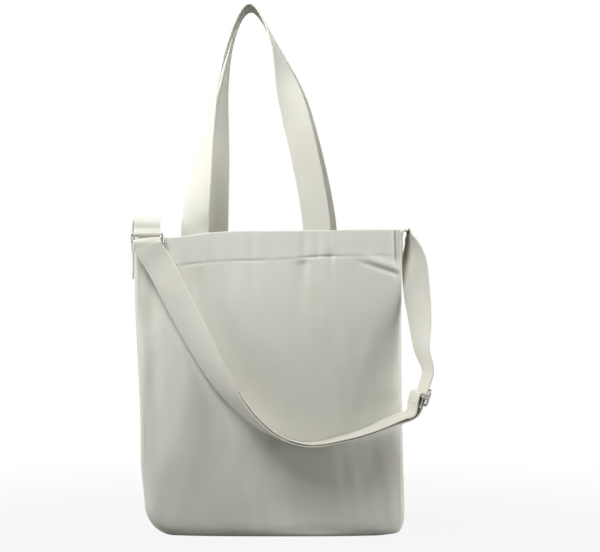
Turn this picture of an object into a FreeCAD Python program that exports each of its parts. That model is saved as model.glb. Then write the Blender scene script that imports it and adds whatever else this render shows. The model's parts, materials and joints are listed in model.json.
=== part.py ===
import FreeCAD, Part
import Sketcher
import math
import os
import re
from FreeCAD import Placement, Rotation, Vector

# A canvas tote bag that stands on its flat base: two hand loops sewn inside the
# mouth, and an adjustable crossbody strap between a ring on the left side and a
# sewn end on the right side. Front is -Y, the middle of the base is the origin.

DOC = FreeCAD.newDocument("ToteBag")
SIZES = DOC.addObject("Spreadsheet::Sheet", "Sizes")

DRIVING_SIZES = (
    ("bag_width", 350, "between the outer faces of the side strips"),
    ("bag_height", 400, "from the base to the top edge"),
    ("bag_depth", 70, "between the outer faces of the two panels"),
    ("corner_radius", 40, "of the rounded lower corners, outside"),
    ("canvas", 1.2, "thickness of one layer of bag canvas"),
    ("hem_height", 38, "height of the turned-in hem"),
    ("thread", 0.5, "how wide and how proud a line of stitches is"),
    ("seam_inset", 4, "from a panel's edge to its line of stitches"),
    ("clearance", 0.3, "between pieces that move past each other"),
    ("handle_width", 36, "width of a hand loop's strap"),
    ("handle_web", 2.4, "thickness of a hand loop's strap"),
    ("handle_rise", 298, "from the top edge to the middle of a hand loop's peak"),
    ("handle_sewn", 36, "length sewn inside the hem"),
    ("handle_peak_shift", -24, "peak of both hand loops, from the middle of the bag"),
    ("handle_peak_round", 24, "how wide the turn at the peak is"),
    ("handle_peak_room", 1, "from the bag's middle plane to a hand loop's edge at its peak"),
    ("front_handle_gap", 160, "between the middles of the front loop's two legs"),
    ("front_handle_shift", -16, "middle of the front loop's legs, from the bag's"),
    ("back_handle_gap", 146, "between the middles of the back loop's two legs"),
    ("back_handle_shift", 0, "middle of the back loop's legs, from the bag's"),
    ("strap_width", 36, "width of the crossbody strap"),
    ("strap_web", 2, "thickness of the crossbody strap"),
    ("strap_drop", 278, "from the top edge to the lowest point of the strap"),
    ("strap_stand", 5, "between the front panel and the strap"),
    ("strap_sewn", 42, "length of the strap's end sewn on the right side"),
    ("strap_setback", 10, "middle of the sewn ends, towards the front"),
    ("strap_lift", 3, "middle of the strap's right end above the top edge"),
    ("strap_start", 11, "where the free strap starts, beyond the bag's right side"),
    ("layer_room", 0.4, "spare room between the strap's two layers"),
    ("tab_side_room", 1.75, "from the ring's inside to each edge of its tab"),
    ("tab_web", 1.8, "thickness of one layer of the ring's tab"),
    ("tab_sewn", 62, "length of the tab below the top edge"),
    ("ring_wire", 3, "diameter of the ring's wire"),
    ("ring_side_room", 0.75, "from the ring's inside to each edge of the strap"),
    ("ring_height", 8, "inside height of the ring"),
    ("ring_inset", 18, "middle of the ring, from the bag's left side"),
    ("ring_stand", 11, "ring in front of the front panel"),
    ("pivot_drop", 3, "the strap's swing axis below the top edge"),
    ("pivot_out", 8, "the swing axis's right end, beyond the bag's right side"),
    ("slider_side_room", 0.5, "from each of the slider's rails to the strap's edge"),
    ("slider_length", 24, "along the strap"),
    ("slider_plate", 3, "thickness of the slider's frame"),
    ("slider_rail", 3.5, "width of the frame's rails"),
    ("slider_bar", 3.2, "diameter of the slider's middle bar"),
    ("slider_lug", 7, "length of the lugs that carry the middle bar"),
    ("slider_out", 24, "slider's middle beyond the bag's right side"),
    ("slider_drop", 212, "slider's middle below the top edge"),
    ("slider_slope", 18, "lean of the strap at the slider, degrees"),
    ("slider_twist", -18, "turn of the strap's face at the slider, degrees"),
    ("slider_travel", 12, "how far the slider moves up the strap"),
    ("tail_length", 16, "length of the strap's end folded back from the middle bar"),
    ("tack_margin", 5, "from the edge of a sewn end to its box of stitches"),
)

# Sizes that follow from the driving ones, as expressions of them.
DERIVED_SIZES = {
    "layer_gap": "(2 * strap_web + 2 * clearance + layer_room)",
    "ring_opening": "(strap_width + 2 * ring_side_room)",
    "tab_width": "(strap_width + 2 * ring_side_room - 2 * tab_side_room)",
    "slider_width": "(strap_width + 2 * slider_side_room + 2 * slider_rail)",
    "bar_offset": "(strap_web / 2 + 2 * clearance + slider_bar / 2 + strap_web)",
}

for row, (alias, value, meaning) in enumerate(DRIVING_SIZES, start=1):
    SIZES.set("A%d" % row, meaning)
    SIZES.set("B%d" % row, str(value))
    SIZES.setAlias("B%d" % row, alias)
DOC.recompute()

UP = Vector(0, 0, 1)
BACK = Vector(0, 1, 0)
RIGHT = Vector(1, 0, 0)

NODES = []


# --- general helpers ---------------------------------------------------------

def rule(text):
    """An expression in which each size's name points at its cell."""
    for name, meaning in DERIVED_SIZES.items():
        text = re.sub(r"\b%s\b" % name, meaning, text)
    return re.sub(r"[a-z]\w*", lambda word: "Sizes." + word.group(), text)


def size(name):
    """One driving or derived size, as a number."""
    return float(SIZES.evalExpression(rule(name)))


def bind(thing, **rules):
    """Tie properties to the sheet, each by its own expression."""
    for name, text in rules.items():
        thing.setExpression(name, rule(text))


def move(thing, x="0", y="0", z="0"):
    """Tie an object's place to the sheet."""
    for axis, text in zip("xyz", (x, y, z)):
        thing.setExpression("Placement.Base." + axis, rule(text))


def node(thing, label):
    """Give a finished sub-part its name and list it for export."""
    thing.Label = label
    NODES.append(thing)
    return thing


def box(x, y, z, length, width, height):
    """A block with its lowest corner and its three sides tied to the sheet."""
    block = DOC.addObject("Part::Box", "Block")
    bind(block, Length=length, Width=width, Height=height)
    move(block, x, y, z)
    return block


def cut(base, tool):
    """One object less another."""
    result = DOC.addObject("Part::Cut", "Cut")
    result.Base = base
    result.Tool = tool
    return result


def fuse(parts):
    """Several objects as one solid."""
    result = DOC.addObject("Part::MultiFuse", "Fused")
    result.Shapes = parts
    result.Refine = True
    return result


def group(parts):
    """Separate solids in one node."""
    result = DOC.addObject("Part::Compound", "Group")
    result.Links = parts
    return result


def formed(shape):
    """A soft piece whose shape comes from its own path."""
    feature = DOC.addObject("Part::Feature", "Formed")
    feature.Shape = shape
    return feature


def cylinder(radius, height, angle=360):
    """A round bar, or a sector of one, along its own Z axis."""
    bar = DOC.addObject("Part::Cylinder", "Bar")
    bind(bar, Radius=radius, Height=height)
    bar.Angle = angle
    return bar


def new_sketch(body, role):
    """A sketch on one of the body's own origin planes."""
    plane = [item for item in body.Origin.OriginFeatures if item.Role == role][0]
    sketch = body.newObject("Sketcher::SketchObject", "Sketch")
    sketch.AttachmentSupport = [(plane, "")]
    sketch.MapMode = "FlatFace"
    return sketch


def seated_rectangle(sketch, width, height):
    """A rectangle on the sketch's horizontal axis, its middle on the vertical one."""
    first_width = 20
    first_height = 10
    start = RIGHT * (-first_width / 2)
    end = RIGHT * (first_width / 2)
    corners = [start, end, end + BACK * first_height, start + BACK * first_height]
    for first in range(4):
        last = (first + 1) % 4
        sketch.addGeometry(Part.LineSegment(corners[first], corners[last]), False)
    for first in range(4):
        sketch.addConstraint(Sketcher.Constraint("Coincident", first, 2, (first + 1) % 4, 1))
    for side in (0, 2):
        sketch.addConstraint(Sketcher.Constraint("Horizontal", side))
    sketch.addConstraint(Sketcher.Constraint("Vertical", 1))
    sketch.addConstraint(Sketcher.Constraint("Symmetric", 0, 1, 0, 2, -1, 1))
    sketch.addConstraint(Sketcher.Constraint("Vertical", 3))
    across = sketch.addConstraint(Sketcher.Constraint("DistanceX", 0, 1, 0, 2, first_width))
    upward = sketch.addConstraint(Sketcher.Constraint("DistanceY", 1, 1, 1, 2, first_height))
    sketch.setExpression("Constraints[%d]" % across, rule(width))
    sketch.setExpression("Constraints[%d]" % upward, rule(height))


# --- flat bands along a path ---------------------------------------------------

def section(centre, along, across, width, web):
    """The rectangle that a band has at one point of its path."""
    along = Vector(along).normalize()
    across = (across - along * across.dot(along)).normalize()
    out = along.cross(across)
    half = across * (width / 2)
    skin = out * (web / 2)
    corners = [centre - half - skin, centre + half - skin, centre + half + skin, centre - half + skin]
    return corners


def flat_face(corners):
    """A flat face inside straight edges."""
    return Part.Face(Part.makePolygon(corners + corners[:1]))


def skin_between(first, last, next_last, next_first):
    """The face between two sections' edges, in two triangles where it is twisted."""
    normal = (last - first).cross(next_first - first)
    flatness = 1e-6
    if abs(normal.normalize().dot(next_last - first)) < flatness:
        return [flat_face([first, last, next_last, next_first])]
    return [flat_face([first, last, next_last]), flat_face([first, next_last, next_first])]


def band(stations, width, web):
    """A flat band through stations of (centre, along, across)."""
    rings = [section(centre, along, across, width, web) for centre, along, across in stations]
    faces = [flat_face(rings[0]), flat_face(rings[-1])]
    for ring, following in zip(rings, rings[1:]):
        for first in range(4):
            last = (first + 1) % 4
            faces += skin_between(ring[first], ring[last], following[last], following[first])
    shell = Part.makeShell(faces)
    shell.sewShape()
    solid = Part.makeSolid(shell)
    if solid.Volume < 0:
        solid.reverse()
    return solid


def turned(along, degrees):
    """Across direction of a band: 0 lies front to back, 90 faces the front."""
    along = Vector(along).normalize()
    level = (BACK - along * BACK.dot(along)).normalize()
    side = along.cross(level)
    angle = math.radians(degrees)
    return level * math.cos(angle) + side * math.sin(angle)


def smooth_run(points, turns, first_along, last_along, count):
    """Stations along a smooth curve through points, the turn eased between them."""
    marks = [0.0]
    for point, following in zip(points, points[1:]):
        marks.append(marks[-1] + point.distanceToPoint(following))
    curve = Part.BSplineCurve()
    curve.interpolate(Points=points, Parameters=marks, InitialTangent=Vector(first_along).normalize(),
                      FinalTangent=Vector(last_along).normalize(), Scale=False)
    stations = []
    for step in range(count + 1):
        mark = curve.FirstParameter + (curve.LastParameter - curve.FirstParameter) * step / count
        leg = max(index for index in range(len(marks) - 1) if index == 0 or marks[index] <= mark)
        share = (mark - marks[leg]) / (marks[leg + 1] - marks[leg])
        turn = turns[leg] + (turns[leg + 1] - turns[leg]) * share
        along = curve.tangent(mark)[0]
        stations.append((curve.value(mark), along, turned(along, turn)))
    return stations


def shifted(stations, gaps):
    """The same stations moved inward, each by its own gap."""
    moved = []
    for (centre, along, across), gap in zip(stations, gaps):
        moved.append((centre - along.cross(across) * gap, along, across))
    return moved


def reversed_run(stations):
    """The same path travelled the other way, keeping each section's corners in step."""
    return [(centre, along * -1, across) for centre, along, across in reversed(stations)]


# --- the bag -------------------------------------------------------------------

def panel(label, y):
    """A front or back panel with rounded lower corners."""
    body = DOC.addObject("PartDesign::Body", "Panel")
    sketch = new_sketch(body, "XZ_Plane")
    seated_rectangle(sketch, "bag_width", "bag_height")
    pad = body.newObject("PartDesign::Pad", "Pad")
    pad.Profile = sketch
    bind(pad, Length="canvas")
    DOC.recompute()
    lower_corners = []
    for number, edge in enumerate(pad.Shape.Edges, start=1):
        runs_through = abs(edge.tangentAt(edge.FirstParameter).y) > 0.9
        if runs_through and edge.CenterOfMass.z < 1:
            lower_corners.append("Edge%d" % number)
    corners = body.newObject("PartDesign::Fillet", "Corners")
    corners.Base = (pad, lower_corners)
    bind(corners, Radius="corner_radius")
    move(body, y=y)
    return node(body, label)


def base_strip():
    """The base with the two quarter turns that lead up to the side strips."""
    floor = box("corner_radius - bag_width / 2", "canvas - bag_depth / 2", "0",
                "bag_width - 2 * corner_radius", "bag_depth - 2 * canvas", "canvas")
    turns = [floor]
    for side in (-1, 1):
        outer = cylinder("corner_radius", "bag_depth - 2 * canvas", 90)
        inner = cylinder("corner_radius - canvas", "bag_depth - 2 * canvas", 90)
        for quarter in (outer, inner):
            turn = Rotation(RIGHT, -90)
            if side < 0:
                turn = Rotation(BACK, 180) * Rotation(RIGHT, 90)
            quarter.Placement = Placement(Vector(), turn)
            move(quarter, x="%d * (bag_width / 2 - corner_radius)" % side,
                 y="%d * (canvas - bag_depth / 2)" % side, z="corner_radius")
        turns.append(cut(outer, inner))
    return node(fuse(turns), "base_strip")


def side_strip(label, side):
    """A side strip from the base's turn up to the top edge."""
    x = "bag_width / 2 - canvas" if side > 0 else "-bag_width / 2"
    strip = box(x, "canvas - bag_depth / 2", "corner_radius",
                "canvas", "bag_depth - 2 * canvas", "bag_height - corner_radius")
    return node(strip, label)


def panel_hem(label, side):
    """The turned-in hem behind a panel's top edge."""
    y = "bag_depth / 2 - 2 * canvas" if side > 0 else "canvas - bag_depth / 2"
    hem = box("canvas - bag_width / 2", y, "bag_height - hem_height",
              "bag_width - 2 * canvas", "canvas", "hem_height")
    return node(hem, label)


def side_hem(label, side):
    """The turned-in hem behind a side strip's top edge."""
    x = "bag_width / 2 - 2 * canvas" if side > 0 else "canvas - bag_width / 2"
    hem = box(x, "2 * canvas - bag_depth / 2", "bag_height - hem_height",
              "canvas", "bag_depth - 4 * canvas", "hem_height")
    return node(hem, label)


def hem_thread(label, side):
    """The row of stitches that holds a hem, on the outside of its panel."""
    y = "bag_depth / 2" if side > 0 else "-bag_depth / 2 - thread"
    thread = box("seam_inset - bag_width / 2", y, "bag_height - hem_height + thread",
                 "bag_width - 2 * seam_inset", "thread", "thread")
    return node(thread, label)


def seam_thread(label, side):
    """The stitches that join a panel to the side strips and the base."""
    half = size("bag_width") / 2 - size("seam_inset")
    radius = size("corner_radius") - size("seam_inset")
    thread = size("thread")
    y = side * (size("bag_depth") / 2 + thread / 2)
    top = size("bag_height") - size("hem_height") - thread
    low = size("seam_inset") + radius
    steps = 6
    stations = [(Vector(-half, y, top), UP * -1, BACK)]
    for end in (-1, 1):
        for step in range(steps + 1):
            share = step / steps if end < 0 else 1 - step / steps
            angle = math.radians(90 * share)
            centre = Vector(end * (half - radius), y, low)
            ray = Vector(end * math.cos(angle), 0, -math.sin(angle))
            along = Vector(math.sin(angle), 0, end * math.cos(angle))
            stations.append((centre + ray * radius, along, BACK))
    stations.append((Vector(half, y, top), UP, BACK))
    return node(formed(band(stations, thread, thread)), label)


# --- the hand loops --------------------------------------------------------------

def leg_middle(end, side):
    """Expression for the middle of one leg of the front or back hand loop."""
    name = "front" if side < 0 else "back"
    return "%s_handle_shift + %d * %s_handle_gap / 2" % (name, end, name)


def handle_end(label, end, side):
    """A hand loop's end, sewn flat inside the hem."""
    y = "bag_depth / 2 - 2 * canvas - handle_web" if side > 0 else "2 * canvas - bag_depth / 2"
    piece = box(leg_middle(end, side) + " - handle_width / 2", y, "bag_height - handle_sewn",
                "handle_width", "handle_web", "handle_sewn")
    return node(piece, label)


def stitched_frame(x, y, z, length, width, height, thin):
    """A box of stitches: a block with its middle taken out, thin along one axis."""
    sides = {"x": length, "y": width, "z": height}
    places = {"x": x, "y": y, "z": z}
    outer = box(x, y, z, length, width, height)
    for axis in "xyz":
        if axis != thin:
            places[axis] += " + thread"
            sides[axis] += " - 2 * thread"
    inner = box(places["x"], places["y"], places["z"], sides["x"], sides["y"], sides["z"])
    return cut(outer, inner)


def handle_tacks(label, side):
    """The boxes of stitches that hold a hand loop's two ends."""
    y = "bag_depth / 2 - 2 * canvas - handle_web - thread"
    if side < 0:
        y = "2 * canvas + handle_web - bag_depth / 2"
    tacks = []
    for end in (-1, 1):
        tacks.append(stitched_frame(
            leg_middle(end, side) + " - handle_width / 2 + tack_margin", y,
            "bag_height - handle_sewn + tack_margin", "handle_width - 2 * tack_margin",
            "thread", "handle_sewn - 2 * tack_margin", "y"))
    return node(group(tacks), label)


def hand_loop(label, side):
    """A hand loop: two legs that turn through a right angle and meet at a peak."""
    name = "front" if side < 0 else "back"
    middle = size(name + "_handle_shift")
    gap = size(name + "_handle_gap")
    top = size("bag_height")
    web = size("handle_web")
    foot_y = side * (size("bag_depth") / 2 - 2 * size("canvas") - web / 2)
    peak_y = side * (size("handle_width") / 2 + size("handle_peak_room"))
    peak = Vector(size("handle_peak_shift"), peak_y, top + size("handle_rise"))
    twist_share = 0.75    # of the rise, by which the leg has turned edge-on
    start_share = 0.35    # of the rise, over which the leg still goes straight up
    crowding = 1.4        # crowds the sections towards the peak's tight bend
    steps = 14
    stations = []
    for end in (-1, 1):
        foot = Vector(middle + end * gap / 2, foot_y, top + size("clearance"))
        lean = UP * (size("handle_rise") * start_share)
        shoulder = peak + RIGHT * (end * size("handle_peak_round"))
        curve = Part.BezierCurve()
        curve.setPoles([foot, foot + lean, shoulder, peak])
        leg = []
        for step in range(steps + 1):
            share = 1 - (1 - step / steps) ** crowding
            centre = curve.value(share)
            along = curve.tangent(share)[0] * -end
            rise = min((centre.z - top) / size("handle_rise") / twist_share, 1)
            angle = math.radians(90 * rise * rise * (3 - 2 * rise))
            across = Vector(end * math.cos(angle), -side * math.sin(angle), 0)
            leg.append((centre, along, across))
        stations += leg[:-1] if end < 0 else leg[::-1]
    return node(formed(band(stations, size("handle_width"), web)), label)


# --- the crossbody strap -----------------------------------------------------------

def strap_y(turn):
    """How far forward the strap's outer layer stands where its face is turned."""
    angle = math.radians(turn)
    room = size("strap_stand") + size("strap_width") / 2 * abs(math.cos(angle))
    return -size("bag_depth") / 2 - room - size("layer_gap") * abs(math.sin(angle))


def slider_frame_axes():
    """Middle of the slider with the directions along, across and out of the strap."""
    slope = math.radians(size("slider_slope"))
    turn = size("slider_twist")
    middle = Vector(size("bag_width") / 2 + size("slider_out"), strap_y(turn),
                    size("bag_height") - size("slider_drop"))
    along = Vector(-math.sin(slope), 0, -math.cos(slope))
    across = turned(along, turn)
    return middle, along, across, along.cross(across)


def strap_pivots():
    """The swing axis: through the ring's upper bar and the strap's sewn end."""
    height = size("bag_height") - size("pivot_drop")
    half = size("bag_width") / 2
    left = Vector(size("ring_inset") - half, -size("bag_depth") / 2 - size("ring_stand"), height)
    right = Vector(half + size("pivot_out"), -size("strap_setback"), height)
    return left, right


def ring_places():
    """Middles of the ring's upper and lower bars, and the bars' direction."""
    left, right = strap_pivots()
    across = (right - left).normalize()
    pitch = size("ring_height") + size("ring_wire")
    return left, left - UP * pitch, across


def crossbody_strap():
    """One long strap: from the right side through the slider, round the ring and back."""
    half = size("bag_width") / 2
    top = size("bag_height")
    web = size("strap_web")
    middle, along, across, _ = slider_frame_axes()
    turn = size("slider_twist")
    end_room = 1
    straight_up = size("slider_length") / 2 + size("slider_travel") + end_room
    straight_down = size("tail_length") + 2 * end_room
    upper_end = middle - along * straight_up
    lower_end = middle + along * straight_down

    # Right side: over the edge and down, the strap's face turning to the front.
    # Each point is the distance out, the share of the way to the slider, and the turn.
    start = Vector(half + size("strap_start"), -size("strap_setback"), top + size("strap_lift"))
    down_share = ((5, 0.04, -8), (8, 0.12, -32), (10, 0.25, -60), (12, 0.42, -75), (15, 0.6, -68),
                  (20, 0.82, -40))
    points = [start]
    turns = [0]
    for out, share, face in down_share:
        y = start.y + (upper_end.y - start.y) * share
        points.append(Vector(start.x + out, y, start.z + (upper_end.z - start.z) * share))
        turns.append(face)
    points.append(upper_end)
    turns.append(turn)
    upper = smooth_run(points, turns, Vector(1, 0, -0.1), along, 18)

    # Across the front: each point is the share of the way across from the ring, the
    # share of the full drop, and the turn.
    upper_bar, lower_bar, bar = ring_places()
    facing = bar.cross(UP)
    fold = size("ring_wire") / 2 + size("clearance") + web / 2
    ring_end = lower_bar + facing * fold
    front_shares = ((0.94, 0.874, -18), (0.838, 0.93, -18), (0.715, 0.977, -10), (0.604, 1.0, 0),
                    (0.49, 0.962, 14), (0.379, 0.849, 34), (0.288, 0.705, 54), (0.211, 0.535, 72),
                    (0.111, 0.36, 84), (0.055, 0.23, 89), (0.017, 0.137, 90))
    points = [lower_end]
    turns = [turn]
    for share, drop, face in front_shares:
        x = ring_end.x + (lower_end.x - ring_end.x) * share
        points.append(Vector(x, strap_y(face), top - size("strap_drop") * drop))
        turns.append(face)
    points.append(ring_end)
    turns.append(90)
    lower = smooth_run(points, turns, along, UP, 26)
    lower[-1] = (ring_end, UP, bar * -1)

    # Round the ring's lower bar.
    turn_over = []
    turn_steps = 6
    for step in range(1, turn_steps):
        angle = math.pi * step / turn_steps
        centre = lower_bar + (facing * math.cos(angle) + UP * math.sin(angle)) * fold
        heading = UP * math.cos(angle) - facing * math.sin(angle)
        turn_over.append((centre, heading, bar * -1))

    # Back on the inside of the same path, to just short of the folded end.
    gaps = []
    late = 4    # the layers only part close to the ring
    for step in range(len(lower)):
        share = step / (len(lower) - 1)
        gaps.append(size("layer_gap") + (2 * fold - size("layer_gap")) * share ** late)
    inner = reversed_run(shifted(lower, gaps))
    stop_at = middle + along * (size("slider_length") / 2 + end_room) - along.cross(across) * gaps[0]
    inner.append((stop_at, along * -1, across))

    stations = upper + lower + turn_over + inner
    return node(formed(band(stations, size("strap_width"), web)), "crossbody_strap")


def sewn_strap_end():
    """The strap's first end, sewn flat on the right side strip."""
    side = Vector(size("bag_width") / 2 + size("strap_web") / 2, -size("strap_setback"), size("bag_height"))
    lift = size("strap_lift")
    stations = [(side - UP * size("strap_sewn"), UP, BACK),
                (side - UP * (lift * 2 / 3), UP, BACK),
                (side + Vector(lift * 0.4, 0, lift / 2), Vector(1, 0, 1), BACK),
                (side + Vector(lift * 1.2, 0, lift), Vector(1, 0, 0.2), BACK)]
    return node(formed(band(stations, size("strap_width"), size("strap_web"))), "strap_sewn_end")


def sewn_end_tack():
    """The box of stitches on the strap's sewn end."""
    tack = stitched_frame(
        "bag_width / 2 + strap_web", "tack_margin - strap_setback - strap_width / 2",
        "bag_height - strap_sewn + tack_margin", "thread", "strap_width - 2 * tack_margin",
        "strap_sewn - 3 * tack_margin", "x")
    return node(tack, "strap_end_tack")


def ring():
    """The rectangular ring: a round wire along a rectangle, closed by a weld."""
    body = DOC.addObject("PartDesign::Body", "Ring")
    path = new_sketch(body, "XZ_Plane")
    seated_rectangle(path, "ring_opening + ring_wire", "ring_height + ring_wire")
    wire = new_sketch(body, "YZ_Plane")
    wire.addGeometry(Part.Circle(Vector(), UP, 1), False)
    wire.addConstraint(Sketcher.Constraint("Coincident", 0, 3, -1, 1))
    radius = wire.addConstraint(Sketcher.Constraint("Radius", 0, 1))
    wire.setExpression("Constraints[%d]" % radius, rule("ring_wire / 2"))
    pipe = body.newObject("PartDesign::AdditivePipe", "Pipe")
    pipe.Profile = wire
    pipe.Spine = path
    pipe.Transition = "Round corner"
    _, lower_bar, across = ring_places()
    body.Placement = Placement(lower_bar, Rotation(RIGHT, across))
    return node(body, "rectangular_ring")


def ring_tab():
    """The doubled tab sewn on the left side, over the top edge and round the ring."""
    half = size("bag_width") / 2
    top = size("bag_height")
    y = -size("strap_setback")
    web = 2 * size("tab_web")
    upper_bar, _, across = ring_places()
    bore = size("ring_wire") / 2 + size("clearance")
    skin = bore + size("tab_web")
    outside = -half - web / 2
    reach = upper_bar.x - outside
    forward = upper_bar.y - y
    # Shares of the way to the ring, height over the top edge and turn of the face.
    steps = ((0.15, 0.12, 8, 25, Vector(0.4, -0.4, 0.8)), (0.5, 0.45, 15, 52, Vector(0.4, -0.8, 0.4)),
             (0.85, 0.78, 17, 74, Vector(0.3, -0.95, -0.1)), (1.0, 0.96, 13.5, 84, Vector(0, -0.6, -0.8)))
    stations = [(Vector(outside, y, top - size("tab_sewn")), UP, BACK),
                (Vector(outside, y, top + 1), UP, BACK)]
    for right_share, front_share, rise, face, along in steps:
        angle = math.radians(face)
        centre = Vector(outside + reach * right_share, y + forward * front_share, top + rise)
        stations.append((centre, along, Vector(math.sin(angle), math.cos(angle), 0)))
    stations.append((upper_bar + UP * ((bore + skin) / 2), UP * -1, across))
    width = size("tab_width")
    tube_start = upper_bar - across * (width / 2)
    loop = Part.makeCylinder(skin, width, tube_start, across)
    hole = Part.makeCylinder(bore, width, tube_start, across)
    shape = band(stations, width, web).fuse(loop).cut(hole)
    return node(formed(shape.removeSplitter()), "ring_tab")


def tab_tack():
    """The box of stitches that holds the tab on the left side strip."""
    tack = stitched_frame(
        "-bag_width / 2 - 2 * tab_web - thread", "tack_margin - strap_setback - tab_width / 2",
        "bag_height - tab_sewn + tack_margin", "thread", "tab_width - 2 * tack_margin",
        "tab_width - 2 * tack_margin", "x")
    return node(tack, "ring_tab_tack")


# --- the slider, in its own frame: X across the strap, Z along it, Y out of it ---------

def placed_on_strap(thing):
    """Put a piece made in the slider's own frame on the strap."""
    middle, along, across, out = slider_frame_axes()
    thing.Placement = Placement(middle, Rotation(across, out, along, "XYZ"))
    return thing


def strap_slider():
    """The slider: a flat frame outside the strap, and a middle bar inside it."""
    frame_y = "strap_web / 2 + clearance"
    plate = box("-slider_width / 2", frame_y, "-slider_length / 2",
                "slider_width", "slider_plate", "slider_length")
    window = box("slider_rail - slider_width / 2", frame_y, "slider_rail - slider_length / 2",
                 "slider_width - 2 * slider_rail", "slider_plate", "slider_length - 2 * slider_rail")
    pieces = [cut(plate, window)]
    for end in (-1, 1):
        x = "slider_width / 2 - slider_rail" if end > 0 else "-slider_width / 2"
        pieces.append(box(x, "-bar_offset - slider_bar / 2", "-slider_lug / 2", "slider_rail",
                          "bar_offset + slider_bar / 2 + slider_plate + " + frame_y, "slider_lug"))
    bar = cylinder("slider_bar / 2", "slider_width - slider_rail")
    bar.Placement = Placement(Vector(), Rotation(BACK, 90))
    move(bar, x="(slider_rail - slider_width) / 2", y="-bar_offset")
    pieces.append(bar)
    return node(placed_on_strap(fuse(pieces)), "strap_slider")


def strap_end_fold():
    """The strap's second end, round the middle bar and folded back on itself."""
    outer = cylinder("slider_bar / 2 + clearance + strap_web", "strap_width")
    inner = cylinder("slider_bar / 2 + clearance", "strap_width")
    for tube in (outer, inner):
        tube.Placement = Placement(Vector(), Rotation(BACK, 90))
        move(tube, x="-strap_width / 2", y="-bar_offset")
    tail = box("-strap_width / 2", "-1.5 * strap_web - clearance", "0",
               "strap_width", "strap_web", "tail_length")
    whole = fuse([outer, tail])
    return node(placed_on_strap(cut(whole, inner)), "strap_end_fold")


def fold_tack():
    """The line of stitches across the folded end."""
    tack = box("tack_margin - strap_width / 2", "-1.5 * strap_web - clearance - thread / 2",
               "tail_length - 5 * thread", "strap_width - 2 * tack_margin", "thread / 2", "thread")
    holder = group([tack])
    return node(placed_on_strap(holder), "strap_fold_tack")


# --- build, check and write -------------------------------------------------------------

def build():
    """Make every sub-part."""
    panel("front_panel", "canvas - bag_depth / 2")
    panel("back_panel", "bag_depth / 2")
    base_strip()
    for name, side in (("left", -1), ("right", 1)):
        side_strip(name + "_side_strip", side)
        side_hem(name + "_side_hem", side)
    for name, side in (("front", -1), ("back", 1)):
        panel_hem(name + "_hem", side)
        hem_thread(name + "_hem_thread", side)
        seam_thread(name + "_seam_thread", side)
        handle_end(name + "_handle_left_end", -1, side)
        handle_end(name + "_handle_right_end", 1, side)
        handle_tacks(name + "_handle_tacks", side)
        hand_loop(name + "_handle", side)
    sewn_strap_end()
    sewn_end_tack()
    ring_tab()
    tab_tack()
    ring()
    crossbody_strap()
    strap_slider()
    strap_end_fold()
    fold_tack()
    DOC.recompute()


def check():
    """Stop if any object failed or any sub-part's shape is not sound."""
    for thing in DOC.Objects:
        if "Invalid" in thing.State or "Error" in thing.State:
            raise RuntimeError("failed object: " + thing.Label)
    for thing in NODES:
        if thing.Shape.isNull() or not thing.Shape.isValid() or not thing.Shape.Solids:
            raise RuntimeError("unsound shape: " + thing.Label)


def write():
    """Write one STEP file for each sub-part."""
    os.makedirs("parts", exist_ok=True)
    for thing in NODES:
        thing.Shape.exportStep("parts/%s.step" % thing.Label)
        low = thing.Shape.BoundBox
        print("%-24s %2d solid(s) %9.1f mm3  x %.1f %.1f  y %.1f %.1f  z %.1f %.1f" % (
            thing.Label, len(thing.Shape.Solids), thing.Shape.Volume,
            low.XMin, low.XMax, low.YMin, low.YMax, low.ZMin, low.ZMax))


build()
check()
write()
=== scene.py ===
import json
import math
import bpy
import numpy as np
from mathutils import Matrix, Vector

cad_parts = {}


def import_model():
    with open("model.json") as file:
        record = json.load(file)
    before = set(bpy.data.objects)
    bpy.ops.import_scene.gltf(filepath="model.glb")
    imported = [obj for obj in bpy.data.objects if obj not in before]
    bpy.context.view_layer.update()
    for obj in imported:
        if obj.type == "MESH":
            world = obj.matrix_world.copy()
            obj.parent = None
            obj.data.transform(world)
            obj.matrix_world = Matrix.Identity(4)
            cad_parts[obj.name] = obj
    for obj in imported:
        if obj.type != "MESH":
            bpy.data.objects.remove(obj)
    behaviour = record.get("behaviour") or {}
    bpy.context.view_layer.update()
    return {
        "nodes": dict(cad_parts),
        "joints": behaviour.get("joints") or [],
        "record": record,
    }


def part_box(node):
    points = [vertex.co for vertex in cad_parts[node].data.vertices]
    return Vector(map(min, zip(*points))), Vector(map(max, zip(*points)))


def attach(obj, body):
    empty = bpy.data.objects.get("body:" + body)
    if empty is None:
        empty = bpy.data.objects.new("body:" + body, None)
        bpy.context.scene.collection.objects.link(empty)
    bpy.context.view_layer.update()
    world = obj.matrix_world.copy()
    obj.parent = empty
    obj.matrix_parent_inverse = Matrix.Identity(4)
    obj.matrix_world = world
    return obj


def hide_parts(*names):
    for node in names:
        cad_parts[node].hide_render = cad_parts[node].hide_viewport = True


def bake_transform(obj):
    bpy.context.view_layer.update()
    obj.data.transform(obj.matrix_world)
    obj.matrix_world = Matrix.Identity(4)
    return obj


# A natural canvas tote bag: a sagging lofted shell, two hand loops, and an
# adjustable crossbody strap with a slider and a ring. Metres, front is -Y.

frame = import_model()

MM = 0.001
FRONT = -1
BACK = 1
UP = np.array((0.0, 0.0, 1.0))
BACKWARD = np.array((0.0, 1.0, 0.0))


# --- sizes read from the frame ---

def box(node):
    """Lowest and highest corner of a CAD node."""
    low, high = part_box(node)
    return np.array(low), np.array(high)


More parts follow.
